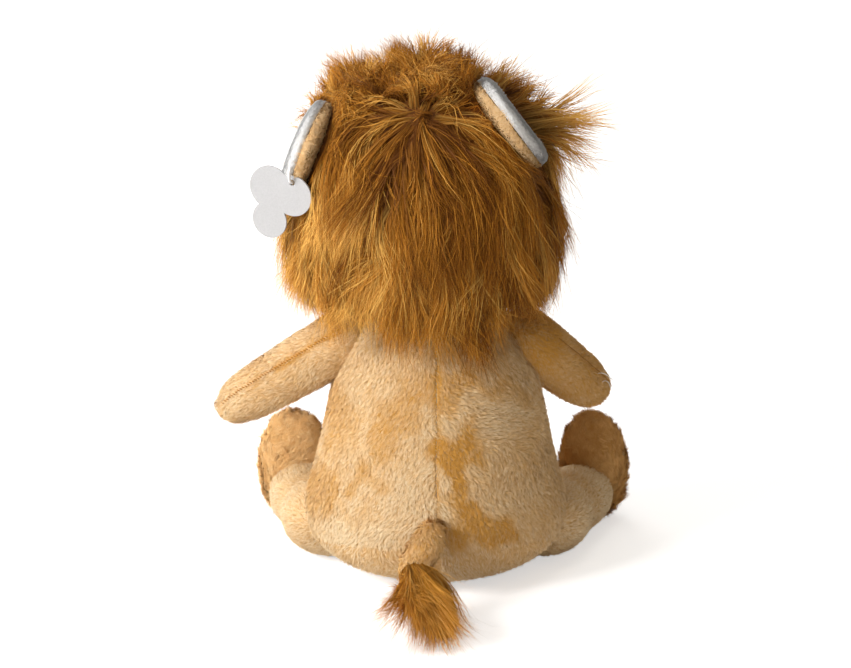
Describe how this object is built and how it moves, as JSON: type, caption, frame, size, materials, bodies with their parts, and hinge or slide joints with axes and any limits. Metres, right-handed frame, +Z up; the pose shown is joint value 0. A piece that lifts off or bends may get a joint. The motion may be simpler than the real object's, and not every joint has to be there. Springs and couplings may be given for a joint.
{
  "type": "plush lion",
  "caption": "Sitting plush lion with a shaggy mane, swinging arms, spreading legs, a turning head, a tufted tail and a bare hang tag.",
  "frame": {"origin": "centre of the flat underside of the seat, on the floor", "axes": "+Z up, +X to the lion's left, the lion faces -Y"},
  "size_m": [0.2311, 0.2169, 0.2885],
  "materials": {
    "tan_plush": "short tan plush, pile about 4 mm",
    "fuzzy_tan_plush": "tan plush with longer pile",
    "mane_pile": "long brown pile, darker at the crown",
    "tuft_pile": "long golden-brown pile",
    "white_plush": "white plush, short pile",
    "filling": "white fibre filling",
    "pellets": "bag of plastic pellets",
    "nose_fabric": "dark brown nose fabric",
    "eye_plastic": "black gloss",
    "clear_plastic": "whitish translucent plastic",
    "card": "bare light grey card, matt"
  },
  "bodies": {
    "torso": {"belly_panel": "tan_plush", "back_panel_left": "tan_plush", "back_panel_right": "tan_plush", "seat_panel": "tan_plush", "torso_stuffing": "filling", "pellet_bag": "pellets"},
    "head": {"face_panel": "tan_plush", "head_back_panel": "mane_pile", "head_stuffing": "filling", "muzzle": "white_plush", "nose": "nose_fabric", "left_eye": "eye_plastic", "right_eye": "eye_plastic", "left_eye_washer": "clear_plastic", "right_eye_washer": "clear_plastic", "left_ear_lining": "white_plush", "left_ear_back": "tan_plush", "right_ear_lining": "white_plush", "right_ear_back": "tan_plush", "tag_loop": "clear_plastic", "mane_ruff": "mane_pile", "mane_back": "mane_pile"},
    "left_arm": {"left_arm_skin": "tan_plush", "left_arm_stuffing": "filling"},
    "right_arm": {"right_arm_skin": "tan_plush", "right_arm_stuffing": "filling"},
    "left_leg": {"left_leg_skin": "tan_plush", "left_foot_skin": "fuzzy_tan_plush", "left_foot_sole": "white_plush", "left_leg_stuffing": "filling"},
    "right_leg": {"right_leg_skin": "tan_plush", "right_foot_skin": "fuzzy_tan_plush", "right_foot_sole": "white_plush", "right_leg_stuffing": "filling"},
    "tail": {"tail_tube": "tan_plush", "tail_tuft": "tuft_pile"},
    "tag": {"tag_card": "card"}
  },
  "joints": [
    {"name": "head_turn", "type": "hinge", "parent": "torso", "child": "head", "pos_m": [0, 0, 0.148], "axis": [0, 0, 1], "range_deg": [-25, 25], "stiffness_Nm_per_rad": 0.1},
    {"name": "left_arm_swing", "type": "hinge", "parent": "torso", "child": "left_arm", "pos_m": [0.04835, -0.002, 0.133], "axis": [-1, 0, 0], "range_deg": [-30, 60], "stiffness_Nm_per_rad": 0.12},
    {"name": "right_arm_swing", "type": "hinge", "parent": "torso", "child": "right_arm", "pos_m": [-0.04835, -0.002, 0.133], "axis": [-1, 0, 0], "range_deg": [-5, 40], "stiffness_Nm_per_rad": 0.12},
    {"name": "left_leg_splay", "type": "hinge", "parent": "torso", "child": "left_leg", "pos_m": [0.05732, -0.016, 0.0235], "axis": [0, 0, 1], "range_deg": [0, 30], "stiffness_Nm_per_rad": 0.1},
    {"name": "right_leg_splay", "type": "hinge", "parent": "torso", "child": "right_leg", "pos_m": [-0.05732, -0.016, 0.0235], "axis": [0, 0, -1], "range_deg": [0, 30], "stiffness_Nm_per_rad": 0.1},
    {"name": "tail_swing", "type": "hinge", "parent": "torso", "child": "tail", "pos_m": [0, 0.05143, 0.048], "axis": [0, 0, 1], "range_deg": [-20, 20], "stiffness_Nm_per_rad": 0.01},
    {"name": "tag_swing", "type": "hinge", "parent": "head", "child": "tag", "pos_m": [0.07547, 0.04053, 0.23517], "axis": [-0.4226, -0.9063, 0], "range_deg": [0, 35]}
  ]
}
